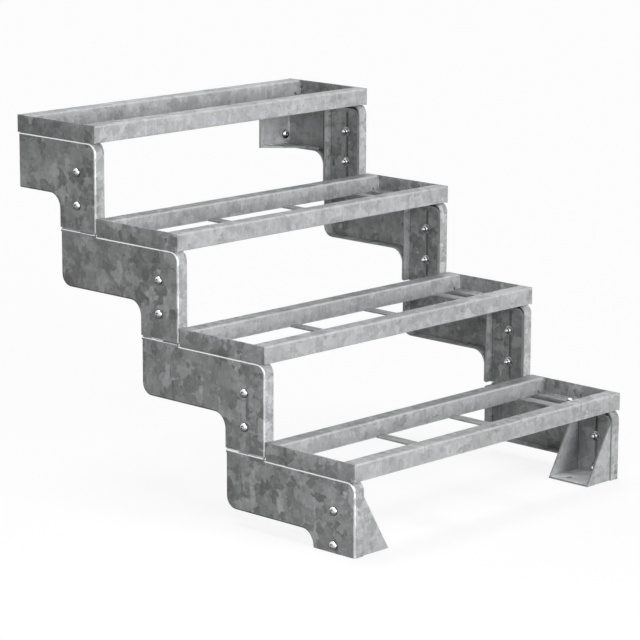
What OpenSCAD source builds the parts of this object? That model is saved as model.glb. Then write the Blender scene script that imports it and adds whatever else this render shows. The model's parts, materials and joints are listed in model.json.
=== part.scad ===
// Outdoor stair substructure: open tread frames between two stringers of nested sheet modules.
// Built with the ground at z = 0 and the lowest frame's front at y = 0, then moved so that the
// origin lies in the middle of the left wall flange's back face.

/* [Steps] */
// Width of a tread frame over its end plates
tread_w = 800; // [600:10:1200]
// Depth of a tread frame, front to back
tread_d = 238; // [220:1:300]
// Height of a tread frame
frame_h = 36; // [30:1:50]
// Height from one frame to the next
rise = 188; // [180:1:200]
// Height of the lowest frame's top above the ground
first_rise = 183; // [178:1:200]
// Gap between the back of a frame and the leg behind it
leg_gap = 2; // [1:0.5:6]

/* [Tread frame] */
// Width of the rectangular tube used for the front and back rail
rail_w = 35; // [25:1:50]
// Wall of the rail tube
rail_wall = 2.5; // [1.5:0.25:4]
// Outer corner radius of the rail tube
rail_r = 4; // [3:0.5:6]
// Thickness of the end plates
end_t = 3; // [2:0.5:5]
// Width of the flange at the foot of each end plate, plate included
end_flange_w = 28; // [20:1:40]
// Width of a crossbar
bar_w = 25; // [15:1:40]
// Thickness of a crossbar
bar_t = 4; // [3:0.5:8]
// Distance of the outer crossbars' middles from the ends of the frame
bar_inset = 71.5; // [45:0.5:120]
// Diameter of the vent holes in the rails
vent_d = 6; // [4:0.5:10]
// Distance of a vent hole from the end of its frame
vent_inset = 18; // [12:1:40]
// Diameter of the hole that fixes a frame to its stringer
frame_hole_d = 9; // [6:0.5:12]
// Distance of that hole from the stringer's outer face
frame_hole_x = 15.5; // [12:0.5:20]

/* [Stringer modules] */
// Sheet thickness of the modules
sheet = 3; // [2:0.25:4]
// Height of the level part of a module
cheek_h = 115; // [90:1:130]
// Depth of the leg of a module
leg_d = 110; // [90:1:130]
// Width of the flanges at the edge of a module, sheet included
flange_w = 25; // [18:1:30]
// Outer radius of the upper front corner
front_r = 20; // [12:1:30]
// Outer radius of the lower back corner
back_r = 25; // [15:1:35]
// Radius of the hollow between the level part and the leg
hollow_r = 30; // [20:1:40]

/* [Nested tongues] */
// Play between a leg and the tongue or bracket inside it
nest_play = 0.5; // [0.25:0.25:1.5]
// Distance of a tongue's free flange edges from the stringer's outer face
tongue_w = 25; // [20:1:40]
// Distance from the top of a tongue to the sheet above it
tongue_drop = 6; // [3:0.5:20]
// Radius of the upper front corner of a tongue
tongue_r = 16; // [8:1:25]
// Height above the top of a module where its web begins to step inward to the tongue
step_low = 0.5; // [0.25:0.25:2]
// Height over which the web steps inward
step_h = 4.5; // [3:0.25:8]
// Gap between that step and the lower edge of the leg above it
leg_clear = 1; // [0.5:0.25:3]
// Width of the slots that let the modules slide on their bolts
slot_w = 9; // [8.5:0.5:11]
// Distance of the slots from both ends of a tongue or bracket
slot_end = 12; // [6:1:30]
// Diameter of the bolt holes in the legs
bolt_hole_d = 8.5; // [8:0.25:10]
// Distance of the bolts from the front of the leg
bolt_y = 55; // [40:1:70]
// Depth of the upper bolt below the top of the module
bolt_top = 64; // [50:1:80]
// Distance between the two bolts of a leg
bolt_pitch = 68; // [50:1:75]

/* [Brackets] */
// Thickness of the foot and wall brackets
bracket_t = 4; // [3:0.5:6]
// Reach of the foot and wall plates from the stringer's outer face
bracket_reach = 98; // [70:1:130]
// Height over which the foot gussets widen
foot_flare_h = 122; // [80:1:125]
// Play between the top module and the wall bracket inside it
wall_play = 0.3; // [0.2:0.1:1]
// Length over which the wall gussets widen
wall_flare_l = 73; // [50:1:120]
// Length of the wall bracket along the stringer
wall_bracket_l = 110; // [90:1:120]
// Outer radius of the bend between the wall bracket's web and its plate
wall_bend_r = 8; // [5:0.5:12]
// Distance from the end of the top module to the wall
wall_gap = 6; // [4:0.5:12]
// Diameter of the anchor hole in a foot plate
anchor_d = 13; // [9:0.5:18]
// Distance of the anchor hole from the stringer's outer face
anchor_x = 75; // [50:1:85]
// Distance of the anchor hole from the front of the leg
anchor_y = 70; // [40:1:80]
// Diameter of the holes in a wall flange
wall_hole_d = 11; // [8:0.5:14]
// Distance of the lower wall hole from the stringer's outer face
wall_hole_in = 18; // [16:1:30]
// Height of the lower wall hole above the bottom of the module
wall_hole_low = 27; // [20:1:40]
// Distance of the upper wall hole from the stringer's outer face
wall_hole_out = 75; // [50:1:85]
// Height of the upper wall hole above the bottom of the module
wall_hole_high = 80; // [60:1:90]

/* [Hidden] */
$fn = 64;
eps = 0.01;
STEPS = 4;
BARS = 4;
going = tread_d + leg_gap;
top_z = first_rise + (STEPS - 1) * rise;
back_y = (STEPS - 1) * going + tread_d;
bar_pitch = (tread_w - 2 * bar_inset) / (BARS - 1);
nest = sheet + nest_play;
leg_lift = step_low + step_h + leg_clear;
tongue_back = leg_d - nest;
foot_height = first_rise - frame_h - sheet - tongue_drop;
foot_depth = leg_d - 2 * nest;
wall_base = sheet + wall_play;
wall_height = cheek_h - 2 * wall_base;
flange_mid_x = bracket_reach / 2;
flange_mid_z = top_z - frame_h - cheek_h / 2;
steel = "#b4b6b8";
dark_steel = "#8b8e91";

function frame_y(n) = (n - 1) * going;
function frame_z(n) = first_rise + (n - 1) * rise;
function leg_len(n) = n == 1 ? first_rise - frame_h : rise - leg_lift;

// Moves the stair from its ground frame to the origin on the left wall flange.
module in_place() {
    translate([tread_w / 2 - flange_mid_x, -back_y, -flange_mid_z]) children();
}

// Puts a left-hand piece, whose x runs inward from the outer face, on either side of the stair.
module on_side(left) {
    if (left) {
        translate([-tread_w / 2, 0, 0]) children();
    } else {
        mirror([1, 0, 0]) translate([-tread_w / 2, 0, 0]) children();
    }
}

// Extrudes an outline drawn in y and z by a width along x.
module along_x(width) {
    rotate([90, 0, 90]) linear_extrude(width) children();
}

// Extrudes an outline drawn in x and z by a thickness along y.
module along_y(thickness) {
    translate([0, thickness, 0]) rotate([90, 0, 0]) linear_extrude(thickness) children();
}

// Rectangle from the origin with all four corners round.
module round_rect(w, h, r) {
    translate([r, 0]) square([w - 2 * r, h]);
    translate([0, r]) square([w, h - 2 * r]);
    for (x = [r, w - r], y = [r, h - r]) {
        translate([x, y]) circle(r);
    }
}

// ---- Tread frames ----

module rail_profile() {
    difference() {
        round_rect(rail_w, frame_h, rail_r);
        translate([rail_wall, rail_wall]) {
            round_rect(rail_w - 2 * rail_wall, frame_h - 2 * rail_wall, rail_r - rail_wall);
        }
    }
}

// Rail of a tread frame with vent holes in its inner wall; inner is the y of that wall's middle.
module rail(n, y, inner) {
    color(steel) in_place() translate([0, frame_y(n) + y, frame_z(n) - frame_h]) difference() {
        translate([-tread_w / 2 + end_t, 0, 0]) along_x(tread_w - 2 * end_t) rail_profile();
        for (side = [-1, 1]) {
            translate([side * (tread_w / 2 - vent_inset), inner, rail_r + vent_d / 2]) {
                rotate([90, 0, 0]) cylinder(d = vent_d, h = 3 * rail_wall, center = true);
            }
        }
    }
}

module front_rail(n) {
    rail(n, 0, rail_w - rail_wall / 2);
}

module back_rail(n) {
    rail(n, tread_d - rail_w, rail_wall / 2);
}

// Hole for the bolt between a frame and its stringer, cut upward from z = 0.
module frame_hole(depth) {
    translate([frame_hole_x, tread_d / 2, -eps]) cylinder(d = frame_hole_d, h = depth + 2 * eps);
}

// End plate of a tread frame, with a flange between the rails that rests on the stringer.
module frame_end(n, left) {
    color(dark_steel) in_place() translate([0, frame_y(n), frame_z(n) - frame_h]) on_side(left) difference() {
        union() {
            cube([end_t, tread_d, frame_h]);
            translate([0, rail_w, 0]) cube([end_flange_w, tread_d - 2 * rail_w, end_t]);
        }
        frame_hole(end_t);
    }
}

// Flat bars between the rails, level with the bottom of the frame.
module crossbars(n) {
    color(steel) in_place() translate([0, frame_y(n) + rail_w, frame_z(n) - frame_h]) {
        for (k = [0:BARS - 1]) {
            translate([bar_inset + k * bar_pitch - (tread_w + bar_w) / 2, 0, 0]) {
                cube([bar_w, tread_d - 2 * rail_w, bar_t]);
            }
        }
    }
}

// ---- Stringer modules ----
// Outlines lie in y and z, with z = 0 at the top of the module, under its tread frame.

// Level part of a module, drawn inset from its outer edge; the top one ends square.
module level_part(n, length, inset) {
    r_f = front_r - inset;
    r_b = back_r - inset;
    w = length - 2 * inset;
    h = cheek_h - 2 * inset;
    translate([inset, inset - cheek_h]) {
        difference() {
            square([w, h]);
            translate([0, h - r_f]) square([r_f, r_f]);
            if (n < STEPS) {
                translate([w - r_b, 0]) square([r_b, r_b]);
            }
        }
        translate([r_f, h - r_f]) circle(r_f);
        if (n < STEPS) {
            translate([w - r_b, r_b]) circle(r_b);
        }
    }
}

// Leg of a module with the hollow that leads into it, drawn inset from its outer edge.
module leg_part(drop, inset) {
    translate([inset, -drop]) square([leg_d - 2 * inset, drop - front_r]);
    difference() {
        translate([leg_d - inset - eps, -cheek_h - hollow_r]) square([hollow_r + inset + eps, hollow_r + inset + eps]);
        translate([leg_d + hollow_r, -cheek_h - hollow_r]) circle(hollow_r + inset);
    }
}

// Whole outline of a module; the leg is open at its foot.
module cheek_outline(n, length, inset) {
    level_part(n, length, inset);
    leg_part(leg_len(n), inset);
}

// Edge flange of a module, without the stretch where the tongue leaves it or the wall bracket sits.
module cheek_flange(n, length) {
    difference() {
        along_x(flange_w) difference() {
            cheek_outline(n, length, 0);
            cheek_outline(n, length, sheet);
        }
        if (n < STEPS) {
            translate([sheet, going, -sheet - eps]) cube([flange_w, length, 2 * sheet]);
        } else {
            translate([sheet, length - sheet - eps, sheet - cheek_h]) cube([flange_w, 2 * sheet, cheek_h - 2 * sheet]);
        }
    }
}

// Bolt holes through the leg of a module.
module leg_holes() {
    for (k = [0, 1]) {
        translate([-eps, bolt_y, -bolt_top - k * bolt_pitch]) rotate([0, 90, 0]) cylinder(d = bolt_hole_d, h = 2 * sheet);
    }
}

// Channel that stands up inside the next leg, from its foot to its round upper corner.
module tongue_outline(height, inset) {
    w = tongue_back - nest - 2 * inset;
    r = tongue_r - inset;
    translate([inset, 0]) {
        difference() {
            square([w, height - inset]);
            translate([0, height - inset - r]) square([r, r]);
        }
        translate([r, height - inset - r]) circle(r);
    }
}

module slot_cut(low, high) {
    translate([0, 0, low + slot_w / 2]) rotate([0, 90, 0]) cylinder(d = slot_w, h = tongue_w);
    translate([0, 0, high - slot_w / 2]) rotate([0, 90, 0]) cylinder(d = slot_w, h = tongue_w);
    translate([0, -slot_w / 2, low + slot_w / 2]) cube([tongue_w, slot_w, high - low - slot_w]);
}

// Web and flanges of a tongue; z = 0 is the top of the module that it grows out of.
module tongue_channel() {
    height = rise - sheet - tongue_drop;
    translate([0, going + nest, 0]) {
        difference() {
            union() {
                translate([nest, 0, 0]) along_x(sheet) tongue_outline(height, 0);
                translate([nest, 0, 0]) along_x(tongue_w - nest) difference() {
                    tongue_outline(height, 0);
                    translate([0, -eps]) tongue_outline(height + eps, sheet);
                }
            }
            translate([0, bolt_y - nest, 0]) slot_cut(leg_lift + slot_end, height - slot_end);
        }
    }
}

// Sloping strip where the web steps inward from the module to its tongue.
module tongue_step() {
    top = step_low + step_h;
    translate([0, going + nest, 0]) along_y(tongue_back - nest) polygon([
        [0, 0], [sheet, 0], [nest + sheet, top], [nest, top], [0, step_low]
    ]);
}

// Moves a piece of a stringer, drawn from its outer face inward, under frame n.
module at_module(n, left) {
    color(dark_steel) in_place() translate([0, frame_y(n), frame_z(n) - frame_h]) on_side(left) children();
}

// Stringer module n with its leg and edge flanges.
module cheek(n, left) {
    length = n < STEPS ? going + tongue_back : tread_d - wall_gap;
    at_module(n, left) difference() {
        union() {
            along_x(sheet) cheek_outline(n, length, 0);
            cheek_flange(n, length);
        }
        leg_holes();
        translate([0, 0, -sheet]) frame_hole(sheet);
    }
}

// Tongue of stringer module n, one sheet with its web, that the next module's leg slides over.
module tongue(n, left) {
    at_module(n, left) {
        tongue_channel();
        tongue_step();
    }
}

// ---- Brackets ----

// Moves a piece of a foot bracket inside the lowest leg, where y = 0 is its front gusset.
module at_foot(left) {
    color(steel) in_place() on_side(left) translate([0, nest, 0]) children();
}

// Bracket inside the lowest leg: slotted channel, round at its upper front corner like a tongue, whose
// flanges widen into two gussets that stand on the ground.
module foot_bracket(left) {
    at_foot(left) difference() {
        union() {
            translate([nest, 0, 0]) along_x(bracket_t) tongue_outline(foot_height, 0);
            translate([nest, 0, 0]) along_x(tongue_w - nest) difference() {
                tongue_outline(foot_height, 0);
                translate([0, -eps]) tongue_outline(foot_height + eps, bracket_t);
            }
            for (y = [0, foot_depth - bracket_t]) {
                translate([0, y, 0]) along_y(bracket_t) polygon([
                    [nest, 0], [bracket_reach, 0], [tongue_w, foot_flare_h], [nest, foot_flare_h]
                ]);
            }
        }
        translate([0, bolt_y - nest, 0]) slot_cut(bracket_t + slot_end / 2, foot_height - slot_end);
    }
}

// Plate on the ground between the gussets of a foot bracket.
module foot_plate(left) {
    at_foot(left) difference() {
        translate([nest + bracket_t, bracket_t, 0]) {
            cube([bracket_reach - nest - bracket_t, foot_depth - 2 * bracket_t, bracket_t]);
        }
        translate([anchor_x, anchor_y - nest, -eps]) cylinder(d = anchor_d, h = bracket_t + 2 * eps);
    }
}

// Moves a piece of a wall bracket to the back of the top module, where z = 0 is that module's bottom.
module at_wall(left) {
    color(steel) in_place() on_side(left) translate([0, back_y, top_z - frame_h - cheek_h]) children();
}

// Outline of a wall bracket seen from above: web, rounded corner at the wall and gusset.
module wall_outline(h) {
    linear_extrude(h) polygon([
        [wall_base, -wall_bend_r], [wall_base + wall_bend_r, -wall_bend_r], [wall_base + wall_bend_r, -bracket_t],
        [bracket_reach - bracket_t, -bracket_t], [flange_w, -wall_flare_l], [flange_w, -wall_bracket_l],
        [wall_base, -wall_bracket_l]
    ]);
    translate([wall_base + wall_bend_r, -wall_bend_r, 0]) intersection() {
        cylinder(r = wall_bend_r, h = h);
        translate([-wall_bend_r, 0, 0]) cube([wall_bend_r, wall_bend_r, h]);
    }
}

// Bracket inside the top module: web with the bend at the wall, and a gusset above and below.
module wall_bracket(left) {
    open_h = wall_height - 2 * bracket_t;
    at_wall(left) translate([0, 0, wall_base]) difference() {
        wall_outline(wall_height);
        translate([wall_base + bracket_t, -wall_bracket_l - eps, bracket_t]) {
            cube([bracket_reach, wall_bracket_l - wall_bend_r + eps, open_h]);
        }
        translate([wall_base + wall_bend_r, -wall_bend_r - eps, bracket_t]) {
            cube([bracket_reach, wall_bend_r - bracket_t + 2 * eps, open_h]);
        }
        translate([wall_base + wall_bend_r, -wall_bend_r, bracket_t]) cylinder(r = wall_bend_r - bracket_t, h = open_h);
    }
}

// Plate of a wall bracket against the wall, beyond the bend of its web.
module wall_plate(left) {
    at_wall(left) difference() {
        translate([wall_base + wall_bend_r, -bracket_t, wall_base]) {
            cube([bracket_reach - wall_base - wall_bend_r, bracket_t, wall_height]);
        }
        for (hole = [[wall_hole_in, wall_hole_low], [wall_hole_out, wall_hole_high]]) {
            translate([hole[0], eps, hole[1]]) rotate([90, 0, 0]) cylinder(d = wall_hole_d, h = bracket_t + 2 * eps);
        }
    }
}

front_rail(1);  // tread_1_front_rail
back_rail(1);  // tread_1_back_rail
frame_end(1, true);  // tread_1_left_end
frame_end(1, false);  // tread_1_right_end
crossbars(1);  // tread_1_crossbars
front_rail(2);  // tread_2_front_rail
back_rail(2);  // tread_2_back_rail
frame_end(2, true);  // tread_2_left_end
frame_end(2, false);  // tread_2_right_end
crossbars(2);  // tread_2_crossbars
front_rail(3);  // tread_3_front_rail
back_rail(3);  // tread_3_back_rail
frame_end(3, true);  // tread_3_left_end
frame_end(3, false);  // tread_3_right_end
crossbars(3);  // tread_3_crossbars
front_rail(4);  // tread_4_front_rail
back_rail(4);  // tread_4_back_rail
frame_end(4, true);  // tread_4_left_end
frame_end(4, false);  // tread_4_right_end
crossbars(4);  // tread_4_crossbars
cheek(1, true);  // cheek_1_left
cheek(2, true);  // cheek_2_left
cheek(3, true);  // cheek_3_left
cheek(4, true);  // cheek_4_left
cheek(1, false);  // cheek_1_right
cheek(2, false);  // cheek_2_right
cheek(3, false);  // cheek_3_right
cheek(4, false);  // cheek_4_right
tongue(1, true);  // tongue_1_left
tongue(2, true);  // tongue_2_left
tongue(3, true);  // tongue_3_left
tongue(1, false);  // tongue_1_right
tongue(2, false);  // tongue_2_right
tongue(3, false);  // tongue_3_right
foot_bracket(true);  // foot_bracket_left
foot_bracket(false);  // foot_bracket_right
foot_plate(true);  // foot_plate_left
foot_plate(false);  // foot_plate_right
wall_bracket(true);  // wall_bracket_left
wall_bracket(false);  // wall_bracket_right
wall_plate(true);  // wall_plate_left
wall_plate(false);  // wall_plate_right
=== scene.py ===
import json
import math

import bmesh
import bpy
from mathutils import Matrix, Vector


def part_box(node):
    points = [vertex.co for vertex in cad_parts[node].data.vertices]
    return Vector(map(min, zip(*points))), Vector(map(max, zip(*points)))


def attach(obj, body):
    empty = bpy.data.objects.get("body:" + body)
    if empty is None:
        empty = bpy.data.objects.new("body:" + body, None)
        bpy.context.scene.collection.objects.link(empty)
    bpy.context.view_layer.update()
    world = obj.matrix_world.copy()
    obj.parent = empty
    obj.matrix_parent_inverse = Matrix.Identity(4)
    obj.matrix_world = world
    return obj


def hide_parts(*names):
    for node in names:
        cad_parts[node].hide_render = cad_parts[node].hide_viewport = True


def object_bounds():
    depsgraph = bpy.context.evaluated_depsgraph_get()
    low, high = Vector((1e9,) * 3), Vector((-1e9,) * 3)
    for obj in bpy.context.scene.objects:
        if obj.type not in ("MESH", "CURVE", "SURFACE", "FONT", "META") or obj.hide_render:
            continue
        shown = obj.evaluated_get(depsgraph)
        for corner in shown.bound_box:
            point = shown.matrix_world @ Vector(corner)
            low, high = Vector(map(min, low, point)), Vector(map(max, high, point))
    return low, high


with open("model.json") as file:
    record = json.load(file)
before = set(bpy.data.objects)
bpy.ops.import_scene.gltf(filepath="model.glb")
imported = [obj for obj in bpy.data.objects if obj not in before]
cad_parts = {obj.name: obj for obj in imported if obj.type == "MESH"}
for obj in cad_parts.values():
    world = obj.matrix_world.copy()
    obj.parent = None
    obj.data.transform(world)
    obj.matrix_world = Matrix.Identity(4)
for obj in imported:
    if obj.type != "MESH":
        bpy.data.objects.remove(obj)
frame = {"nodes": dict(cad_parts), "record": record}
cadLow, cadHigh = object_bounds()
middle = (cadLow + cadHigh) / 2
mm = 0.001
sides = ("left", "right")
print("frame loaded:", len(frame["nodes"]), "nodes")

cameraSizes = {
    "azimuth": -46.112,  # degrees, minus is towards the left
    "elevation": 12.289,
    "roll": 0.1786,
    "lens": 162.807,
    "sensor": 36.0,
    "distance": 5.98269,  # metres from the middle of the stair
    "offRight": -0.00121,  # metres that the stair stands off the middle of the view
    "offUp": 0.04654,
    "farthest": 100.0,
}


def makeCamera(s):
    a, e, r = (math.radians(s[k]) for k in ("azimuth", "elevation", "roll"))
    back = Vector((math.sin(a) * math.cos(e), -math.cos(a) * math.cos(e), math.sin(e)))
    level = Vector((math.cos(a), math.sin(a), 0.0))
    upright = back.cross(level)
    right = math.cos(r) * level + math.sin(r) * upright
    up = math.cos(r) * upright - math.sin(r) * level
    camera = bpy.data.objects.new("camera", bpy.data.cameras.new("camera"))
    camera.data.lens = s["lens"]
    camera.data.sensor_width = s["sensor"]
    camera.data.clip_end = s["farthest"]
    spot = middle + back * s["distance"] - right * s["offRight"] - up * s["offUp"]
    turn = Matrix((right, up, back)).transposed().to_4x4()
    camera.matrix_world = Matrix.Translation(spot) @ turn
    bpy.context.scene.collection.objects.link(camera)
    bpy.context.scene.camera = camera


makeCamera(cameraSizes)
print("camera placed")


def addNode(tree, kind, values=(), **settings):
    # values: socket name or number, then a plain value or the output of another node
    node = tree.nodes.new(kind)
    for key, value in settings.items():
        setattr(node, key, value)
    for key, value in dict(values).items():
        if isinstance(value, bpy.types.NodeSocket):
            tree.links.new(value, node.inputs[key])
        else:
            node.inputs[key].default_value = value
    return node


def maths(tree, operation, a, b):
    return addNode(tree, "ShaderNodeMath", {0: a, 1: b}, operation=operation).outputs[0]


def vectorMaths(tree, operation, a, b):
    other = "Scale" if operation == "SCALE" else 1
    return addNode(tree, "ShaderNodeVectorMath", {0: a, other: b}, operation=operation).outputs[0]


def mixed(tree, share, a, b):
    return addNode(tree, "ShaderNodeMix", {0: share, 2: a, 3: b}, data_type="FLOAT").outputs[0]


def ranged(tree, value, low, high, start=0.0, end=1.0):
    # start..end of the value becomes low..high
    limits = {"From Min": start, "From Max": end, "To Min": low, "To Max": high}
    return addNode(tree, "ShaderNodeMapRange", {"Value": value} | limits).outputs[0]


def openGroup(name, kind, inputs, outputs):
    tree = bpy.data.node_groups.new(name, kind)
    for label, sort, value in inputs:
        made = tree.interface.new_socket(name=label, in_out="INPUT", socket_type=sort)
        if value is not None:
            made.default_value = value
    for label, sort in outputs:
        tree.interface.new_socket(name=label, in_out="OUTPUT", socket_type=sort)
    return tree, tree.nodes.new("NodeGroupInput"), tree.nodes.new("NodeGroupOutput")


zincSizes = {
    "warpScale": 70.0,
    "warpDetail": 5.0,
    "warpReach": 0.016,  # metres that the edges of the crystals wander
    "ragged": 0.65,  # below 1 the crystals get spikes
    "finer": 2.3,  # how many times smaller the second set of crystals is
    "finerShare": 0.4,
    "cloudScale": 5.0,
    "cloudDetail": 4.0,
    "grainDepth": 0.0004,
}


def makeZincGroup(s):
    # crystals of hot-dip zinc: patches of slightly different tone, each with its own gloss and lean
    real, point = "NodeSocketFloat", "NodeSocketVector"
    tree, given, out = openGroup(
        "zincSpangle", "ShaderNodeTree",
        [("Place", point, None), ("Patch Scale", real, 46.0), ("Contrast", real, 0.2), ("Cloud", real, 0.15)],
        [("Tone", real), ("Gloss", real), ("Height", real), ("Tilt", point)],
    )
    g = given.outputs
    half = (0.5, 0.5, 0.5)

    def noise(scale, detail):
        return addNode(tree, "ShaderNodeTexNoise", {"Vector": g["Place"], "Scale": scale, "Detail": detail})

    def crystals(values):
        patch = addNode(tree, "ShaderNodeTexVoronoi", values, distance="MINKOWSKI").outputs["Color"]
        return patch, addNode(tree, "ShaderNodeSeparateColor", {0: patch}).outputs

    shift = vectorMaths(tree, "SUBTRACT", noise(s["warpScale"], s["warpDetail"]).outputs["Color"], half)
    bent = vectorMaths(tree, "ADD", g["Place"], vectorMaths(tree, "SCALE", shift, s["warpReach"]))
    star = {"Vector": bent, "Scale": g["Patch Scale"], "Exponent": s["ragged"]}
    patch, tint = crystals(star)
    speck = crystals(star | {"Scale": maths(tree, "MULTIPLY", g["Patch Scale"], s["finer"])})[1]
    cloud = noise(s["cloudScale"], s["cloudDetail"]).outputs["Fac"]
    both = mixed(tree, s["finerShare"], tint[0], speck[0])
    strong = maths(tree, "MULTIPLY", maths(tree, "SUBTRACT", both, 0.5), g["Contrast"])
    wide = maths(tree, "MULTIPLY", maths(tree, "SUBTRACT", cloud, 0.5), g["Cloud"])
    tone = maths(tree, "ADD", maths(tree, "ADD", strong, wide), 1.0)
    lean = vectorMaths(tree, "SUBTRACT", patch, half)
    for label, value in (("Tone", tone), ("Gloss", tint[1]), ("Height", speck[1]), ("Tilt", lean)):
        tree.links.new(value, out.inputs[label])
    return tree


zincGroup = makeZincGroup(zincSizes)


# "mask" names the attribute that says where a highlight is painted bright, or below 0 where shade is painted
# dark
sheetLook = {
    "colour": (0.43, 0.435, 0.44), "metallic": 0.1, "rough": (0.4, 0.6), "specular": 0.28,
    "patch": 42.0, "contrast": 0.95, "cloud": 0.4, "tilt": 0.3, "bump": 0.12,
    "mask": "bend", "bendShine": 1.0, "sheenMetallic": 1.0,  # how strong the painted highlight is, how metallic it is
    "under": 1.0,  # how much of it shows on faces that look down
}
railLook = sheetLook | {
    "colour": (0.44, 0.445, 0.45), "contrast": 0.62, "cloud": 0.25, "bendShine": 0.2, "under": 0.2,
}
# cut edges: a lighter colour as a painted highlight where rounded edges would catch the light; the rim mask
# paints the slot walls bright
edgeLook = sheetLook | {
    "colour": (0.5, 0.505, 0.51), "contrast": 0.2, "cloud": 0.1, "mask": "rim", "sheenMetallic": 0.1,
}
# the foot plate is painted much lighter than the other zinc, as painted light for the light that falls on its
# top
litPlateLook = sheetLook | {"colour": (0.87, 0.88, 0.89), "metallic": 0.6, "contrast": 0.4, "cloud": 0.2}
# dark strips behind the slots: painted shade
slotShadeLook = sheetLook | {
    "colour": (0.27, 0.268, 0.262), "metallic": 0.0, "rough": (0.8, 0.95), "contrast": 0.5, "patch": 300.0,
}
# bolts: dark metal with painted highlights where the mask is set; the dark rim and neck are painted shade
boltLook = sheetLook | {
    "colour": (0.05, 0.05, 0.055), "metallic": 1.0, "rough": (0.16, 0.24), "contrast": 0.06, "patch": 160.0,
    "tilt": 0.0, "under": 0.1,
}
# colour and roughness of the painted highlight
brightColour, brightRough = (0.85, 0.86, 0.87, 1.0), 0.3
darkest = 0.3  # share of the tone that is left where the mask is -1, as painted shade
underFrom, underTo = -0.3, 0.15  # range of the normal's z in which a face stops looking down


def makeMetal(name, look):
    material = bpy.data.materials.new(name)
    material.use_nodes = True
    tree = material.node_tree
    shader = tree.nodes["Principled BSDF"].inputs
    zinc = addNode(tree, "ShaderNodeGroup", {}, node_tree=zincGroup)
    tree.links.new(addNode(tree, "ShaderNodeTexCoord").outputs["Object"], zinc.inputs["Place"])
    for key, label in (("patch", "Patch Scale"), ("contrast", "Contrast"), ("cloud", "Cloud")):
        zinc.inputs[label].default_value = look[key]
    crystal = zinc.outputs
    normal = addNode(tree, "ShaderNodeNewGeometry").outputs["Normal"]
    facing = addNode(tree, "ShaderNodeSeparateXYZ", {0: normal}).outputs[2]
    mark = addNode(tree, "ShaderNodeAttribute", attribute_name=look["mask"]).outputs["Fac"]
    # painted light: above 0 the mask turns the colour into a bright highlight, less on faces that look down;
    # below 0 it darkens it as painted shade
    shine = ranged(tree, facing, look["under"], look["bendShine"], underFrom, underTo)
    paintedLightLevel = maths(tree, "MULTIPLY", mark, shine)
    shade = ranged(tree, mark, darkest, 1.0, -1.0, 0.0)
    dull = vectorMaths(tree, "SCALE", look["colour"], maths(tree, "MULTIPLY", crystal["Tone"], shade))
    colour = addNode(tree, "ShaderNodeMix", {0: paintedLightLevel, 6: dull, 7: brightColour}, data_type="RGBA").outputs[2]
    rough = mixed(tree, paintedLightLevel, ranged(tree, crystal["Gloss"], *look["rough"]), brightRough)
    metal = mixed(tree, paintedLightLevel, look["metallic"], look["sheenMetallic"])
    # every crystal leans a little, so that it takes the light in its own way
    leant = vectorMaths(tree, "ADD", normal, vectorMaths(tree, "SCALE", crystal["Tilt"], look["tilt"]))
    unit = addNode(tree, "ShaderNodeVectorMath", {0: leant}, operation="NORMALIZE").outputs[0]
    grain = {"Strength": look["bump"], "Distance": zincSizes["grainDepth"], "Height": crystal["Height"]}
    bump = addNode(tree, "ShaderNodeBump", grain | {"Normal": unit}).outputs[0]
    for label, value in (("Base Color", colour), ("Roughness", rough), ("Metallic", metal), ("Normal", bump)):
        tree.links.new(value, shader[label])
    shader["Specular IOR Level"].default_value = look["specular"]
    return material


zincSheet = makeMetal("zincSheet", sheetLook)
zincTube = makeMetal("zincTube", railLook)
cutEdge = makeMetal("cutEdge", edgeLook)
litPlateZinc = makeMetal("litPlateZinc", litPlateLook)
plated = makeMetal("platedBolt", boltLook)
slotShade = makeMetal("slotShade", slotShadeLook)
print("materials made")

# Sheet pieces are drawn in millimetres: x inward from the outer face of a side, y back, z up.


def arc(centre, radius, start, end, steps, hollow=False):
    # points of an arc with the outward direction at each; hollow arcs bulge into the sheet
    turn = -1 if hollow else 1
    made = []
    for k in range(steps + 1):
        a = math.radians(start + (end - start) * k / steps)
        c, s = math.cos(a), math.sin(a)
        made.append(((centre[0] + radius * c, centre[1] + radius * s), (turn * c, turn * s)))
    return made


def circle(u, v, radius, steps=32):
    turns = [2 * math.pi * k / steps for k in range(steps)]
    return [(u + radius * math.cos(a), v + radius * math.sin(a)) for a in turns]


def bendProfile(radius, reach, steps=6):
    # (distance in from the outline, distance in from the web, 1 on the bend itself, where a highlight is
    # painted)
    made = [(radius + 1.0, 0.0, 0), (radius, 0.0, 0)]
    for k in range(1, steps + 1):
        a = math.radians(90 * k / steps)
        made.append((radius * (1 - math.sin(a)), radius * (1 - math.cos(a)), 1 if k < steps - 1 else 0))
    made += [(0.0, radius + 1.0, 0), (0.0, reach, 0)]
    return made


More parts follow.
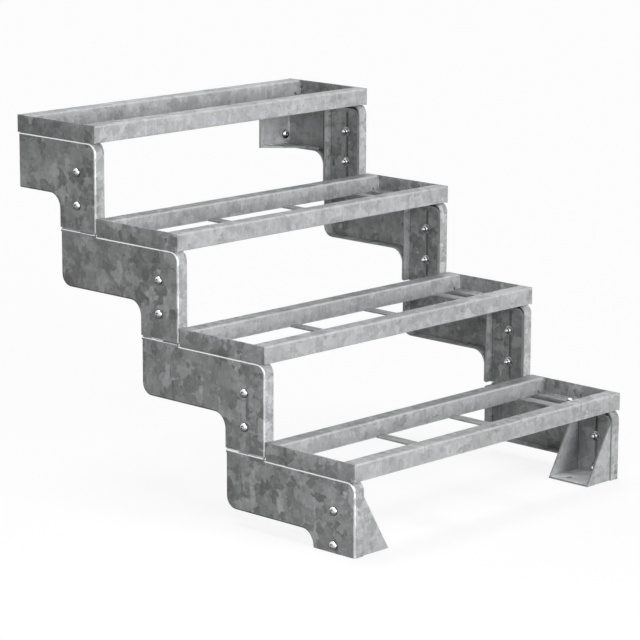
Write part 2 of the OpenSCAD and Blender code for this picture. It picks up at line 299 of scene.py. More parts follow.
class Sheet:
    # one open surface, the outer skin of a bent part, that Solidify then gives its thickness
    frontSheen = 0.45  # painted highlight of a bend that faces forward, where one that faces up has 1

    def __init__(self):
        self.bm = bmesh.new()
        self.bend = self.bm.verts.layers.float.new("bend")
        self.rim = self.bm.verts.layers.float.new("rim")

    def vert(self, x, y, z, bend=0, rim=0):
        v = self.bm.verts.new((x, y, z))
        v[self.bend] = bend
        v[self.rim] = rim
        return v

    def face(self, verts):
        self.bm.faces.new(verts)

    def strip(self, rows):
        for a, b in zip(rows, rows[1:]):
            for k in range(len(a) - 1):
                self.face((a[k], a[k + 1], b[k + 1], b[k]))

    def flange(self, path, profile, base=0.0):
        # sweeps the bend profile along a path in the y, z plane; bends that face up or forward get a painted
        # highlight, those that face down or back get painted shade
        rows = []
        for (y, z), (ny, nz) in path:
            paintedLightLevel = max(0.0, nz) + self.frontSheen * max(0.0, -ny) + min(0.0, nz) - max(0.0, ny)
            rows.append([
                self.vert(base + x, y - ny * inset, z - nz * inset, paintedLightLevel * mark) for inset, x, mark in profile
            ])
        self.strip(rows)
        return rows

    def loop(self, verts):
        made = []
        for a, b in zip(verts, verts[1:] + verts[:1]):
            found = self.bm.edges.get((a, b))
            made.append(found if found else self.bm.edges.new((a, b)))
        return made

    def hole(self, x, y, z, radius, rise=0.0, steps=12):
        # round hole, or with rise a slot that runs up from it, its cut wall given a painted highlight
        ring, bright = [], 1 if rise else 0
        for k in range(steps + 1):
            a = math.pi * k / steps
            ring.append(self.vert(x, y + radius * math.cos(a), z + rise + radius * math.sin(a), rim=bright))
        for k in range(steps + 1):
            a = math.pi + math.pi * k / steps
            if rise or 0 < k < steps:
                ring.append(self.vert(x, y + radius * math.cos(a), z + radius * math.sin(a), rim=bright))
        return self.loop(ring)

    def fill(self, verts, holes=()):
        edges = self.loop(verts)
        for ring in holes:
            edges += ring
        bmesh.ops.triangle_fill(self.bm, use_beauty=True, use_dissolve=False, edges=edges)


def softenEdges(obj, width):
    soft = obj.modifiers.new("edges", "BEVEL")
    soft.width = width * mm
    soft.segments = 2
    soft.limit_method = "ANGLE"
    soft.angle_limit = math.radians(50)


def finishMesh(obj, angle=32):
    shown = obj.evaluated_get(bpy.context.evaluated_depsgraph_get())
    plain = bpy.data.meshes.new_from_object(shown)
    obj.modifiers.clear()
    obj.data = plain
    plain.shade_smooth()
    plain.set_sharp_from_angle(angle=math.radians(angle))


def finishPiece(name, bm, spot, side, materials, nodes, thickness=0.0, outer=(-1, 0, 0), bevel=0.0):
    # turns a drawing into a piece, mirrored for the right side; spot is the world place of its origin
    bmesh.ops.remove_doubles(bm, verts=bm.verts, dist=0.005)
    bmesh.ops.recalc_face_normals(bm, faces=bm.faces)
    if thickness and outer:
        if sum((f.normal.dot(Vector(outer)) * f.calc_area() for f in bm.faces), 0.0) < 0:
            bmesh.ops.reverse_faces(bm, faces=bm.faces)
    way = -1 if side == "right" else 1
    for v in bm.verts:
        v.co = Vector((spot[0] + way * v.co.x * mm, spot[1] + v.co.y * mm, spot[2] + v.co.z * mm))
    if side == "right":
        bmesh.ops.reverse_faces(bm, faces=bm.faces)
    mesh = bpy.data.meshes.new(name)
    bm.to_mesh(mesh)
    bm.free()
    obj = bpy.data.objects.new(name, mesh)
    bpy.context.scene.collection.objects.link(obj)
    for material in materials:
        mesh.materials.append(material)
    if thickness:
        solid = obj.modifiers.new("wall", "SOLIDIFY")
        solid.thickness = thickness * mm
        solid.offset = -1.0
        solid.use_even_offset = True
        solid.material_offset_rim = len(materials) - 1
    if bevel:
        softenEdges(obj, bevel)
    finishMesh(obj)
    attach(obj, "root")
    if nodes:
        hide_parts(*nodes)


stepCount = 4
moduleSizes = {
    "sheet": 3.0,
    "bendRadius": 4.0,
    "flange": 25.0,
    "height": 115.0,
    "legDepth": 110.0,
    "frontRadius": 20.0,
    "backRadius": 25.0,
    "hollowRadius": 30.0,
    "tongueWidth": 25.0,
    "tongueRadius": 16.0,
    "tongueCorner": 7.0,
    "stepStart": 0.5,  # where the web begins to step inward, above the module's top
    "stepHeight": 4.5,
    "nest": 3.5,  # how far the tongue stands inside the module above
    "boltHole": 4.25,
    "boltBack": 55.0,
    "boltDown": (64.0, 132.0),
    "slotHalf": 4.5,
    "slotEnd": 12.0,
    "legLift": 6.0,
}


def sideSpot(n, side):
    # outer face, front and top of module n on one side, in metres
    low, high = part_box(f"cheek_{n}_{side}")
    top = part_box(f"tread_{n}_left_end")[0].z
    return (low.x if side == "left" else high.x, low.y, top)


def makeModule(n, side, s):
    low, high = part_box(f"cheek_{n}_{side}")
    spot = sideSpot(n, side)
    length, drop = (high.y - low.y) / mm, (spot[2] - low.z) / mm
    last = n == stepCount
    h, leg, hollow = s["height"], s["legDepth"], s["hollowRadius"]
    radius, nest = s["bendRadius"], s["nest"]
    profile = bendProfile(radius, s["flange"])
    sheet = Sheet()
    under = [((leg, -drop), (1, 0))]
    under += arc((leg + hollow, -h - hollow), hollow, 180, 90, 8, hollow=True)
    if last:
        under.append(((length, -h), (0, -1)))
    else:
        back = s["backRadius"]
        under += arc((length - back, back - h), back, -90, 0, 8)
        under.append(((length, -s["sheet"]), (1, 0)))
    front = s["frontRadius"]
    tongueFront = length - (leg - 2 * nest)
    over = [((length if last else tongueFront - nest, 0.0), (0, 1))]
    over += arc((front, -front), front, 90, 180, 8)
    over.append(((0.0, -drop), (-1, 0)))
    rowsUnder = sheet.flange(under, profile)
    rowsOver = sheet.flange(over, profile)
    edge = [row[0] for row in rowsUnder]
    if not last:
        start = s["stepStart"]
        columns = [length, length - radius, length - radius - 1]
        columns += [tongueFront + radius + 1, tongueFront + radius, tongueFront]
        foot = [sheet.vert(0, y, start) for y in columns]
        edge += [rowsUnder[-1][1], sheet.vert(0, length, -s["sheet"])] + foot
        edge += [sheet.vert(0, tongueFront, 0), sheet.vert(0, tongueFront - nest, 0), rowsOver[0][1]]
    edge += [row[0] for row in rowsOver]
    holes = [sheet.hole(0, s["boltBack"], -down, s["boltHole"]) for down in s["boltDown"]]
    sheet.fill(edge, holes)
    if not last:
        # the web steps inward and goes on as the tongue
        top = (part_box(f"tongue_{n}_{side}")[1].z - spot[2]) / mm
        rows = [foot]
        steps = 8
        for k in range(1, steps + 1):
            t = k / steps
            x, z = nest * t * t * (3 - 2 * t), start + s["stepHeight"] * t
            # the step's bend gets a painted highlight
            rows.append([sheet.vert(x, y, z, 1 if k < steps else 0) for y in columns])
        sheet.strip(rows)
        r, corner, base = s["tongueRadius"], s["tongueCorner"], start + s["stepHeight"]
        around = [((length, base), (1, 0))]
        around += arc((length - corner, top - corner), corner, 0, 90, 5)
        around += arc((tongueFront + r, top - r), r, 90, 180, 6)
        around.append(((tongueFront, base), (-1, 0)))
        rowsAround = sheet.flange(around, bendProfile(radius, s["tongueWidth"] - nest), nest)
        slotLow = s["legLift"] + s["slotEnd"] + s["slotHalf"]
        slotHigh = top - s["slotEnd"] - s["slotHalf"]
        slotBack = tongueFront - nest + s["boltBack"]
        slot = sheet.hole(nest, slotBack, slotLow, s["slotHalf"], rise=slotHigh - slotLow)
        sheet.fill([row[0] for row in rowsAround], [slot])
    finishPiece(
        f"stringerModule{n}{side.capitalize()}", sheet.bm, spot, side, (zincSheet, cutEdge),
        [f"cheek_{n}_{side}"] + ([] if last else [f"tongue_{n}_{side}"]), thickness=s["sheet"],
    )


for n in range(1, stepCount + 1):
    for side in sides:
        makeModule(n, side, moduleSizes)
print("stringer modules made")

mounts = {m["name"]: m["pos_m"] for m in frame["record"]["mounts"]}
bracketSizes = {
    "sheet": 4.0,
    "bendRadius": 5.0,
    "backCorner": 6.0,
    "nest": 3.5,
    "shoulder": 25.0,  # width of the flanges beside the gussets
    "corner": 16.0,
    "flareHeight": 122.0,  # of the foot's gussets
    "slotBack": 51.5,
    "slotHalf": 4.5,
    "slotLow": 14.5,
    "slotEnd": 12.0,
    "anchorRadius": 6.5,
    "plateCorner": 0.3,
    "wallBend": 8.0,
    "wallFlare": 73.0,  # depth of the wall bracket's gussets
    "wallHoleRadius": 5.5,
    "weld": 3.5,
    "weldInset": (2.0, 3.0),  # free length at the bend and at the plate's edge
}
weldSizes = {
    "spacing": 1.1,
    "ripple": 0.16,
    "phase": 2.2,
    "endShare": 0.7,  # size of the first and last ring
    "shape": [(-0.08, -0.08), (1.0, -0.08), (0.76, 0.36), (0.36, 0.76), (-0.08, 1.0)],
}
slotShadeSizes = {"near": 3.1, "far": 3.4, "lap": 1.0}  # depths behind the outer face, and reach past the slot


def makeFootBracket(side, s):
    low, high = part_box(f"foot_bracket_{side}")
    spot = (sideSpot(1, side)[0], low.y, low.z)
    corner, flare, nest, shoulder = s["corner"], s["flareHeight"], s["nest"], s["shoulder"]
    depth, height, reach = (high.y - low.y) / mm, (high.z - low.z) / mm, (high.x - low.x) / mm + nest
    # up the back, over the top, round the front corner and down, with gussets that widen to the ground
    around = [((depth, 0.0), (1, 0)), ((depth, flare), (1, 0))]
    around += arc((depth - s["backCorner"], height - s["backCorner"]), s["backCorner"], 0, 90, 3)
    around += arc((corner, height - corner), corner, 90, 180, 8)
    around += [((0.0, flare), (-1, 0)), ((0.0, 0.0), (-1, 0))]
    sheet = Sheet()
    rows = sheet.flange(around, bendProfile(s["bendRadius"], shoulder - nest), nest)
    for row in rows:
        row[-1].co.x = shoulder + max(0.0, 1 - row[-1].co.z / flare) * (reach - shoulder)
    rise = height - s["slotEnd"] - s["slotHalf"] - s["slotLow"]
    slot = sheet.hole(nest, s["slotBack"], s["slotLow"], s["slotHalf"], rise=rise)
    sheet.fill([row[0] for row in rows], [slot])
    finishPiece(
        f"footBracket{side.capitalize()}", sheet.bm, spot, side, (zincTube, cutEdge),
        [f"foot_bracket_{side}"], thickness=s["sheet"],
    )


def makeFootPlate(side, s):
    low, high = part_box(f"foot_plate_{side}")
    outer = sideSpot(1, side)[0]
    x0, x1 = sorted(abs(x - outer) / mm for x in (low.x, high.x))
    y1, c = (high.y - low.y) / mm, s["plateCorner"]
    anchor = mounts[f"foot_anchor_{side}"]
    sheet = Sheet()
    outline = [(x0, 0.0), (x1 - c, 0.0), (x1, c), (x1, y1 - c), (x1 - c, y1), (x0, y1)]
    verts = [sheet.vert(x, y, 0.0) for x, y in outline]
    hole = circle(abs(anchor[0] - outer) / mm, (anchor[1] - low.y) / mm, s["anchorRadius"])
    sheet.fill(verts, [sheet.loop([sheet.vert(x, y, 0.0) for x, y in hole])])
    finishPiece(
        f"footPlate{side.capitalize()}", sheet.bm, (outer, low.y, high.z), side, (litPlateZinc, cutEdge),
        [f"foot_plate_{side}"], thickness=(high.z - low.z) / mm, outer=(0, 0, 1), bevel=0.4,
    )


def weldBead(bm, start, end, u, v, size, ripple=weldSizes["ripple"]):
    # fillet in the corner at start..end; u and v point along the two plates that it joins
    start, end, u, v = (Vector(p) for p in (start, end, u, v))
    length = (end - start).length
    along = (end - start) / length
    count = max(2, int(length / weldSizes["spacing"]))
    rows = []
    for k in range(count + 1):
        swell = size * (1 + ripple * math.sin(k * weldSizes["phase"]))
        swell *= weldSizes["endShare"] if k in (0, count) else 1.0
        spot = start + along * (length * k / count)
        rows.append([bm.verts.new(spot + u * (a * swell) + v * (b * swell)) for a, b in weldSizes["shape"]])
    for a, b in zip(rows, rows[1:]):
        for k in range(len(a)):
            m = (k + 1) % len(a)
            bm.faces.new((a[k], a[m], b[m], b[k]))
    bm.faces.new(rows[0])
    bm.faces.new(rows[-1][::-1])


def prism(bm, outline, low, high):
    # closed solid from an outline of (x, y) points
    bottom = [bm.verts.new((x, y, low)) for x, y in outline]
    top = [bm.verts.new((x, y, high)) for x, y in outline]
    bm.faces.new(bottom[::-1])
    bm.faces.new(top)
    for k in range(len(outline)):
        m = (k + 1) % len(outline)
        bm.faces.new((bottom[k], bottom[m], top[m], top[k]))


def makeWallBracket(side, s):
    low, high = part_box(f"wall_bracket_{side}")
    plateLow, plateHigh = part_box(f"wall_plate_{side}")
    outer = sideSpot(stepCount, side)[0]
    spot = (outer, high.y, low.z)
    base, inner = sorted(abs(x - outer) / mm for x in (low.x, high.x))
    wide = max(abs(x - outer) / mm for x in (plateLow.x, plateHigh.x))
    height, length = (high.z - low.z) / mm, (high.y - low.y) / mm
    t, r, shoulder = s["sheet"], s["wallBend"], s["shoulder"]
    turn = [p for p, _ in arc((base + r, -r), r, 180, 90, 8)]
    # web, bend and plate from one sheet, between the two gussets
    sheet = Sheet()
    plan = [(base, -length, 0), (base, -r - 1, 0)]
    # the bend gets a painted highlight
    plan += [(x, y, 1 if 0 < k < 8 else 0) for k, (x, y) in enumerate(turn)]
    plan.append((base + r + 0.5, 0.0, 0))
    levels = (t, height - t)
    rows = [[sheet.vert(x, y, z, mark) for x, y, mark in plan] for z in levels]
    sheet.strip(rows)
    rings = []
    for hole in ("low", "high"):
        at = mounts[f"wall_hole_{hole}_{side}"]
        ring = circle(abs(at[0] - outer) / mm, (at[2] - low.z) / mm, s["wallHoleRadius"])
        rings.append(sheet.loop([sheet.vert(x, 0.0, z) for x, z in ring]))
    far = [sheet.vert(wide, 0.0, z) for z in levels]
    sheet.fill([rows[0][-1], far[0], far[1], rows[1][-1]], rings)
    finishPiece(
        f"wallPlate{side.capitalize()}", sheet.bm, spot, side, (zincTube, cutEdge),
        [f"wall_plate_{side}"], thickness=t, outer=(-1, 1, 0), bevel=0.4,
    )
    # gussets above and below, with the weld that joins them to the plate
    bm = bmesh.new()
    outline = turn + [(wide, 0.0), (wide, -t), (inner, -t)]
    outline += [(shoulder, -s["wallFlare"]), (shoulder, -length), (base, -length)]
    prism(bm, outline, 0.0, t)
    prism(bm, outline, height - t, height)
    first, last = base + r + s["weldInset"][0], inner - s["weldInset"][1]
    for z, up in ((t, 1), (height - t, -1)):
        weldBead(bm, (first, -t, z), (last, -t, z), (0, -1, 0), (0, 0, up), s["weld"])
    finishPiece(
        f"wallGussets{side.capitalize()}", bm, spot, side, (zincTube,),
        [f"wall_bracket_{side}"], bevel=0.5,
    )


def makeSlotShade(s, foot, module):
    # thin dark strips in the play between the nested sheets, seen through the slots: painted shade for the
    # slots' shadowed insides
    bm = bmesh.new()
    for n in range(1, stepCount + 1):
        for side in sides:
            x, y, z = sideSpot(n, side)
            way = 1 if side == "left" else -1
            low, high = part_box(f"foot_bracket_{side}" if n == 1 else f"tongue_{n - 1}_{side}")
            start = foot["slotLow"] - foot["slotHalf"] if n == 1 else module["legLift"] + module["slotEnd"]
            x0, x1 = sorted((x / mm + way * s["near"], x / mm + way * s["far"]))
            back, half = y / mm + module["boltBack"], module["slotHalf"] + s["lap"]
            outline = [(x0, back - half), (x1, back - half), (x1, back + half), (x0, back + half)]
            prism(bm, outline, low.z / mm + start - s["lap"], high.z / mm - module["slotEnd"] + s["lap"])
    finishPiece("slotShade", bm, (0.0, 0.0, 0.0), "left", (slotShade,), [])


for side in sides:
    makeFootBracket(side, bracketSizes)
    makeFootPlate(side, bracketSizes)
    makeWallBracket(side, bracketSizes)
makeSlotShade(slotShadeSizes, bracketSizes, moduleSizes)
print("brackets made")

frameSizes = {
    "tubeRadius": 4.0,
    "tubeWall": 2.5,
    "bendMargin": 0.15,  # strip beside each rounded edge in which its painted highlight fades
    "ventRadius": 2.8,
    "ventInset": 15.0,  # from the end of the rail
    "ventUp": 7.0,
    "plate": 3.0,
    "plateCorner": 2.2,
    "ledgeSunk": 0.5,  # how far the ledge runs into the end plate, so that they are one
    "ledgeLift": 0.02,
    "railDepth": 35.0,
    "barWidth": 25.0,
    "barRound": 1.2,
    "barCount": 4,
    "weld": 2.6,
}


def makeRail(n, which, s):
    node = f"tread_{n}_{which}_rail"
    low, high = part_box(node)
    length, depth, height = ((high - low) / mm)[:]
    r, margin = s["tubeRadius"], s["bendMargin"]
    inner = depth if which == "front" else 0.0
    ring = []
    corners = [(depth - r, r, -90), (depth - r, height - r, 0), (r, height - r, 90), (r, r, 180)]
    for cy, cz, start in corners:
        turn = arc((cy, cz), r, start, start + 90, 6)
        (y0, z0), (dy0, dz0) = turn[0]
        (y1, z1), (dy1, dz1) = turn[-1]
        ring.append((y0 + dz0 * margin, z0 - dy0 * margin, 0))
        # the rounded edges get the painted highlight
        ring += [(p[0], p[1], 1 if 0 < k < 6 else 0) for k, (p, _) in enumerate(turn)]
        ring.append((y1 - dz1 * margin, z1 + dy1 * margin, 0))
    sheet = Sheet()
    ends = [[sheet.vert(x, y, z, mark) for y, z, mark in ring] for x in (0.0, length)]
    for k, (y, z, _) in enumerate(ring):
        m = (k + 1) % len(ring)
        corner = (ends[0][k], ends[0][m], ends[1][m], ends[1][k])
        if abs(y - inner) < 0.01 and abs(ring[m][0] - inner) < 0.01 and abs(z - ring[m][1]) > height / 2:
            # the wall that faces the other rail has the vents
            rings = []
            for x in (s["ventInset"], length - s["ventInset"]):
                vent = circle(x, s["ventUp"], s["ventRadius"], 20)
                rings.append(sheet.loop([sheet.vert(u, inner, v) for u, v in vent]))
            sheet.fill(list(corner), rings)
        else:
            sheet.face(corner)
    bm = sheet.bm
    bmesh.ops.recalc_face_normals(bm, faces=bm.faces)
    centre = Vector((length / 2, depth / 2, height / 2))
    if sum((f.calc_center_median() - centre).dot(f.normal) * f.calc_area() for f in bm.faces) < 0:
        bmesh.ops.reverse_faces(bm, faces=bm.faces)
    finishPiece(
        f"frame{n}{which.capitalize()}Rail", bm, tuple(low), "left", (zincTube, cutEdge),
        [node], thickness=s["tubeWall"], outer=None,
    )


def makeFrameEnd(n, side, s):
    node = f"tread_{n}_{side}_end"
    low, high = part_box(node)
    spot = (low.x if side == "left" else high.x, low.y, low.z)
    width, depth, height = ((high - low) / mm)[:]
    t, r, rail, weld = s["plate"], s["plateCorner"], s["railDepth"], s["weld"]
    front = [p for p, _ in arc((r, r), r, 270, 180, 5)]
    back = [p for p, _ in arc((r, depth - r), r, 180, 90, 5)]
    bm = bmesh.new()
    prism(bm, front + back + [(t, depth), (t, 0.0)], 0.0, height)
    sunk = t - s["ledgeSunk"]
    prism(bm, [(sunk, rail), (sunk, depth - rail), (width, depth - rail), (width, rail)], s["ledgeLift"], t)
    weldBead(bm, (t, rail + 1, t), (t, depth - rail - 1, t), (1, 0, 0), (0, 0, 1), weld, ripple=0.0)
    for y, way in ((rail, 1), (depth - rail, -1)):
        weldBead(bm, (t, y, t + 2), (t, y, height - 2), (1, 0, 0), (0, way, 0), weld)
    finishPiece(
        f"frame{n}End{side.capitalize()}", bm, spot, side, (zincSheet,),
        [node], bevel=0.45,
    )


def closeTree(tree, copies, material, out):
    # puts the copies on their points, makes them real and gives them their material
    many = addNode(tree, "GeometryNodeInstanceOnPoints", copies)
    single = addNode(tree, "GeometryNodeRealizeInstances", {0: many.outputs[0]})
    done = addNode(tree, "GeometryNodeSetMaterial", {"Geometry": single.outputs[0], "Material": material})
    tree.links.new(done.outputs[0], out.inputs[0])


def makeBarTree():
    real, whole = "NodeSocketFloat", "NodeSocketInt"
    tree, given, out = openGroup(
        "crossbarRow", "GeometryNodeTree",
        [("Width", real, 0.025), ("Thickness", real, 0.004), ("Length", real, 0.168), ("Round", real, 0.001),
         ("Count", whole, 4), ("Pitch", real, 0.219), ("Start", "NodeSocketVector", None),
         ("Material", "NodeSocketMaterial", None)],
        [("Geometry", "NodeSocketGeometry")],
    )
    g = given.outputs
    section = {"Width": g["Width"], "Height": g["Thickness"]}
    box = addNode(tree, "GeometryNodeCurvePrimitiveQuadrilateral", section)
    corners = {"Curve": box.outputs[0], "Radius": g["Round"], "Count": 3}
    soft = addNode(tree, "GeometryNodeFilletCurve", corners, mode="POLY")
    end = addNode(tree, "ShaderNodeCombineXYZ", {"Y": g["Length"]})
    path = addNode(tree, "GeometryNodeCurvePrimitiveLine", {"End": end.outputs[0]})
    curves = {"Curve": path.outputs[0], "Profile Curve": soft.outputs[0], "Fill Caps": True}
    bar = addNode(tree, "GeometryNodeCurveToMesh", curves)
    step = addNode(tree, "ShaderNodeCombineXYZ", {"X": g["Pitch"]})
    spots = {"Count": g["Count"], "Start Location": g["Start"], "Offset": step.outputs[0]}
    row = addNode(tree, "GeometryNodeMeshLine", spots, mode="OFFSET")
    copies = {"Points": row.outputs[0], "Instance": bar.outputs[0]}
    closeTree(tree, copies, g["Material"], out)
    return tree


def growTree(name, tree, values, points=None, bevel=0.0):
    # runs a geometry tree on a host object and keeps the plain mesh that it makes
    mesh = bpy.data.meshes.new(name)
    if points:
        mesh.from_pydata([p for p, _ in points], [], [])
        aim = mesh.attributes.new("axis", "FLOAT_VECTOR", "POINT")
        aim.data.foreach_set("vector", [c for _, way in points for c in way])
    obj = bpy.data.objects.new(name, mesh)
    bpy.context.scene.collection.objects.link(obj)
    grow = obj.modifiers.new("grow", "NODES")
    grow.node_group = tree
    for item in tree.interface.items_tree:
        if item.in_out == "INPUT" and item.name in values:
            grow[item.identifier] = values[item.name]
    if bevel:
        softenEdges(obj, bevel)
    finishMesh(obj, angle=40)
    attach(obj, "root")
    return obj


barTree = makeBarTree()


def makeCrossbars(n, s):
    low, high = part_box(f"tread_{n}_crossbars")
    width, thick = s["barWidth"] * mm, high.z - low.z
    obj = growTree(f"frame{n}Crossbars", barTree, {
        "Width": width, "Thickness": thick, "Length": high.y - low.y, "Round": s["barRound"] * mm,
        "Count": s["barCount"], "Pitch": (high.x - low.x - width) / (s["barCount"] - 1),
        "Start": (low.x + width / 2, low.y, low.z + thick / 2), "Material": zincTube,
    })
    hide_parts(f"tread_{n}_crossbars")


for n in range(1, stepCount + 1):
    for which in ("front", "back"):
        makeRail(n, which, frameSizes)
    for side in sides:
        makeFrameEnd(n, side, frameSizes)
    makeCrossbars(n, frameSizes)
print("tread frames made")

boltSizes = {
    "Head Radius": 9.5, "Head Height": 6.5, "Shank Radius": 4.0, "Grip": 6.5,
    "Washer Radius": 10.5, "Washer Height": 1.6, "Nut Width": 15.0, "Nut Height": 4.0, "Cap Height": 4.0,
}
frameBoltSizes = boltSizes | {
    "Head Radius": 8.5, "Head Height": 6.0, "Grip": 6.0, "Nut Height": 5.0, "Cap Height": 3.0,
}
wallBoltSizes = boltSizes | {
    "Head Radius": 10.5, "Shank Radius": 5.0, "Grip": 0.3, "Washer Radius": 5.0, "Washer Height": 0.5,
    "Nut Width": 8.0, "Nut Height": 0.5, "Cap Height": 1.0,
}
boltForm = {
    "segments": 28, "rings": 16,
    "crown": 0.95,  # share of the head's height above which the socket is sunk
    "socketDepth": 0.5, "socketSpread": 1.7,
    # where the head gets its painted highlight
    "brightRing": (0.45, 0.95), "brightSocket": 0.3,  # shares of the head's radius
    "hexCorner": 0.5774,  # corner radius of a hexagon that is 1 across its flats
    "endRadius": 1.2, "neckRadius": 1.1,
    "washerShine": 0.35, "nutShine": 0.8,
}
boltPlaces = {"frameInset": 15.5, "wallSunk": 2.0}  # from the stringer's outer face, and into the wall plate


def makeBoltTree(form):
    tree, given, out = openGroup(
        "boltSet", "GeometryNodeTree",
        [("Geometry", "NodeSocketGeometry", None)]
        + [(label, "NodeSocketFloat", value * mm) for label, value in boltSizes.items()]
        + [("Material", "NodeSocketMaterial", None)],
        [("Geometry", "NodeSocketGeometry")],
    )
    g = given.outputs

    def calc(operation, a, b):
        return maths(tree, operation, a, b)

    def moved(shape, z):
        spot = addNode(tree, "ShaderNodeCombineXYZ", {"Z": z}).outputs[0]
        return addNode(tree, "GeometryNodeTransform", {"Geometry": shape, "Translation": spot}).outputs[0]

    def ball(radius, height):
        count = {"Segments": form["segments"], "Rings": form["rings"], "Radius": 1.0}
        made = addNode(tree, "GeometryNodeMeshUVSphere", count).outputs[0]
        size = addNode(tree, "ShaderNodeCombineXYZ", {"X": radius, "Y": radius, "Z": height}).outputs[0]
        return addNode(tree, "GeometryNodeTransform", {"Geometry": made, "Scale": size}).outputs[0]

    def rod(vertices, radius, depth):
        shape = {"Vertices": vertices, "Radius": radius, "Depth": depth}
        return addNode(tree, "GeometryNodeMeshCylinder", shape).outputs[0]

    def paintedShine(shape, level):
        # painted highlight: how bright the material draws this part
        values = {"Geometry": shape, "Name": "bend", "Value": level}
        kind = {"data_type": "FLOAT", "domain": "POINT"}
        return addNode(tree, "GeometryNodeStoreNamedAttribute", values, **kind).outputs[0]

    def compared(a, b, operation):
        values = {0: a, 1: b}
        return addNode(tree, "FunctionNodeCompare", values, data_type="FLOAT", operation=operation).outputs[0]

    def pressed(shape, chosen, spot):
        values = {"Geometry": shape, "Selection": chosen, "Position": spot}
        return addNode(tree, "GeometryNodeSetPosition", values).outputs[0]

    # button head: a squashed ball, its lower half pressed flat on the sheet and a socket sunk in its crown
    here = addNode(tree, "GeometryNodeInputPosition").outputs[0]
    x, y, z = addNode(tree, "ShaderNodeSeparateXYZ", {0: here}).outputs
    flat = addNode(tree, "ShaderNodeCombineXYZ", {"X": x, "Y": y}).outputs[0]
    dome = pressed(ball(g["Head Radius"], g["Head Height"]), compared(z, 0.0, "LESS_THAN"), flat)
    radial = addNode(tree, "ShaderNodeVectorMath", {0: flat}, operation="LENGTH").outputs["Value"]
    reach = calc("DIVIDE", radial, g["Head Radius"])
    deep = calc("SUBTRACT", z, calc("MULTIPLY", g["Head Height"], form["socketDepth"]))
    wide = vectorMaths(tree, "SCALE", flat, form["socketSpread"])
    socket = vectorMaths(tree, "ADD", wide, addNode(tree, "ShaderNodeCombineXYZ", {"Z": deep}).outputs[0])
    crown = compared(z, calc("MULTIPLY", g["Head Height"], form["crown"]), "GREATER_THAN")
    # painted highlight on a ring and in the socket, painted shade on the rim between
    start, end = form["brightRing"]
    ring = calc("MULTIPLY", calc("GREATER_THAN", reach, start), calc("LESS_THAN", reach, end))
    bright = calc("ADD", ring, calc("LESS_THAN", reach, form["brightSocket"]))
    head = pressed(paintedShine(dome, bright), crown, socket)

    # on the far side of the sheets: washer, domed nut and the bolt's end, each a distance below the head
    def below(start, extra=0.0, share=0.0):
        return calc("MULTIPLY", calc("ADD", start, calc("MULTIPLY", extra, share)), -1.0)

    shank, grip, nutWidth, cap = g["Shank Radius"], g["Grip"], g["Nut Width"], g["Cap Height"]
    underWasher = calc("ADD", grip, g["Washer Height"])
    underNut = calc("ADD", underWasher, g["Nut Height"])
    endRadius = calc("MULTIPLY", shank, form["endRadius"])
    washer = moved(rod(28, g["Washer Radius"], g["Washer Height"]), below(grip, g["Washer Height"], 0.5))
    nut = rod(6, calc("MULTIPLY", nutWidth, form["hexCorner"]), g["Nut Height"])
    nut = moved(nut, below(underWasher, g["Nut Height"], 0.5))
    whole = addNode(tree, "GeometryNodeJoinGeometry")
    # washer, nut, cap and end get painted highlights, the neck stays dark as painted shade
    for piece in (
        head,
        moved(rod(16, shank, grip), below(0.0, grip, 0.5)),
        paintedShine(washer, form["washerShine"]),
        paintedShine(nut, form["nutShine"]),
        paintedShine(moved(ball(calc("MULTIPLY", nutWidth, 0.5), cap), below(underNut)), 1.0),
        moved(rod(20, calc("MULTIPLY", endRadius, form["neckRadius"]), cap), below(underNut, cap, 0.7)),
        paintedShine(moved(ball(endRadius, cap), below(underNut, cap, 1.2)), 1.0),
    ):
        tree.links.new(piece, whole.inputs[0])
    axis = addNode(tree, "GeometryNodeInputNamedAttribute", {"Name": "axis"}, data_type="FLOAT_VECTOR")
    aim = addNode(tree, "FunctionNodeAlignRotationToVector", {"Vector": axis.outputs[0]}, axis="Z")
    copies = {"Points": g["Geometry"], "Instance": whole.outputs[0], "Rotation": aim.outputs[0]}
    closeTree(tree, copies, g["Material"], out)
    return tree


boltTree = makeBoltTree(boltForm)


def growBolts(name, sizes, spots, bevel):
    values = {label: value * mm for label, value in sizes.items()}
    obj = growTree(name, boltTree, values | {"Material": plated}, spots, bevel)


def makeBolts(s):
    # each bolt is the place under its head and the way that the head points
    legBolts, frameBolts, wallBolts = [], [], []
    for n in range(1, stepCount + 1):
        low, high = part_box(f"tread_{n}_left_end")
        for side in sides:
            x, y, z = sideSpot(n, side)
            way = -1.0 if side == "left" else 1.0
            for down in moduleSizes["boltDown"]:
                legBolts.append(((x, y + moduleSizes["boltBack"] * mm, z - down * mm), (way, 0.0, 0.0)))
            inset, lift = s["frameInset"] * mm, frameSizes["plate"] * mm
            frameBolts.append(((x - way * inset, (low.y + high.y) / 2, low.z + lift), (0.0, 0.0, 1.0)))
    for side in sides:
        x, y, z = mounts[f"wall_hole_low_{side}"]
        wallBolts.append(((x, y - s["wallSunk"] * mm, z), (0.0, -1.0, 0.0)))
    growBolts("legBolts", boltSizes, legBolts, 0.5)
    growBolts("frameBolts", frameBoltSizes, frameBolts, 0.5)
    growBolts("wallBolts", wallBoltSizes, wallBolts, 0.3)


makeBolts(boltPlaces)
print("bolts made")

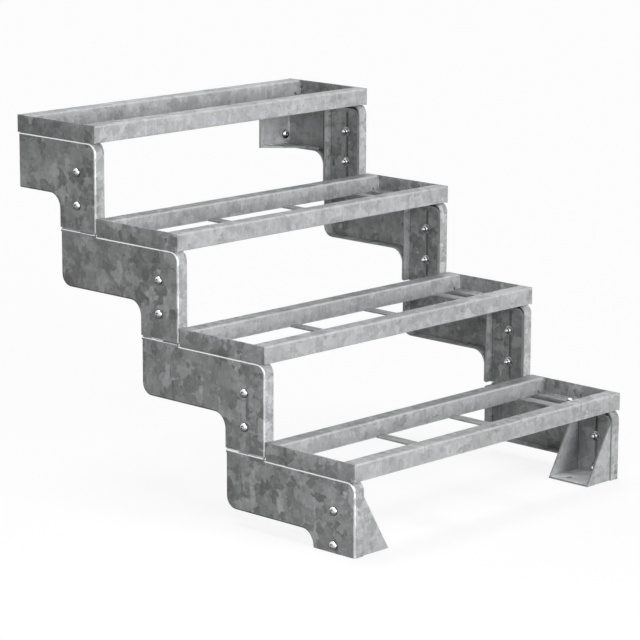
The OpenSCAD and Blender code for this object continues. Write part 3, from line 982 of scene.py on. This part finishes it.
lightSizes = {
    "keyFrom": (-0.03, -0.99, 0.14), "keyStrength": 3.3, "keySpread": 40.0,
    "topFrom": (0.0, 0.26, 0.97), "topStrength": 1.45, "topSpread": 30.0,
    "rearFrom": (0.6, 0.78, 0.18), "rearStrength": 1.2, "rearSpread": 40.0,
    "sideAt": (-1.4, -1.3, 0.55),  # metres from the middle of the stair
    "sidePower": 7.4, "sideSize": 0.4,
    "ambient": 0.03,
}
floorSizes = {
    "size": 30.0,
    "drop": 0.0005,  # metres below the feet
    "grey": 0.16,  # how strongly it takes the shadow
    "glow": 0.86,
}


def addLamp(name, kind, energy, source):
    lamp = bpy.data.lights.new(name, kind)
    lamp.energy = energy
    obj = bpy.data.objects.new(name, lamp)
    obj.rotation_euler = Vector(source).to_track_quat("Z", "Y").to_euler()
    bpy.context.scene.collection.objects.link(obj)
    return obj


def seenDirectly(tree):
    # 1 for the camera, for glossy reflections and through glass
    path = addNode(tree, "ShaderNodeLightPath").outputs
    seen = maths(tree, "MAXIMUM", path["Is Camera Ray"], path["Is Glossy Ray"])
    return maths(tree, "MAXIMUM", seen, path["Is Transmission Ray"])


def makeLight(s):
    for name in ("key", "top", "rear"):
        sun = addLamp(name, "SUN", s[f"{name}Strength"], s[f"{name}From"])
        sun.data.angle = math.radians(s[f"{name}Spread"])
        sun.visible_glossy = name != "rear"  # the rear one only fills the shade
    side = addLamp("side", "AREA", s["sidePower"], s["sideAt"])
    side.data.size = s["sideSize"]
    side.location = middle + Vector(s["sideAt"])
    world = bpy.data.worlds.new("studio")
    world.use_nodes = True
    bpy.context.scene.world = world
    tree = world.node_tree
    ground = tree.nodes["Background"].inputs
    ground["Color"].default_value = (1, 1, 1, 1)
    tree.links.new(ranged(tree, seenDirectly(tree), s["ambient"], 1.0), ground["Strength"])


def makeFloor(s):
    bm = bmesh.new()
    bmesh.ops.create_grid(bm, x_segments=1, y_segments=1, size=s["size"])
    for v in bm.verts:
        v.co.z = cadLow.z - s["drop"]
    mesh = bpy.data.meshes.new("floor")
    bm.to_mesh(mesh)
    bm.free()
    floor = bpy.data.objects.new("floor", mesh)
    bpy.context.scene.collection.objects.link(floor)
    material = bpy.data.materials.new("paleFloor")
    material.use_nodes = True
    tree = material.node_tree
    tree.nodes.clear()
    out = addNode(tree, "ShaderNodeOutputMaterial")
    grey = (s["grey"], s["grey"], s["grey"], 1)
    matt = addNode(tree, "ShaderNodeBsdfDiffuse", {"Color": grey}).outputs[0]
    power = maths(tree, "MULTIPLY", seenDirectly(tree), s["glow"])
    glow = addNode(tree, "ShaderNodeEmission", {"Color": (1, 1, 1, 1), "Strength": power}).outputs[0]
    both = addNode(tree, "ShaderNodeAddShader", {0: matt, 1: glow})
    tree.links.new(both.outputs[0], out.inputs["Surface"])
    mesh.materials.append(material)


makeLight(lightSizes)
makeFloor(floorSizes)
bpy.context.scene.view_settings.view_transform = "Standard"
print("stage made")
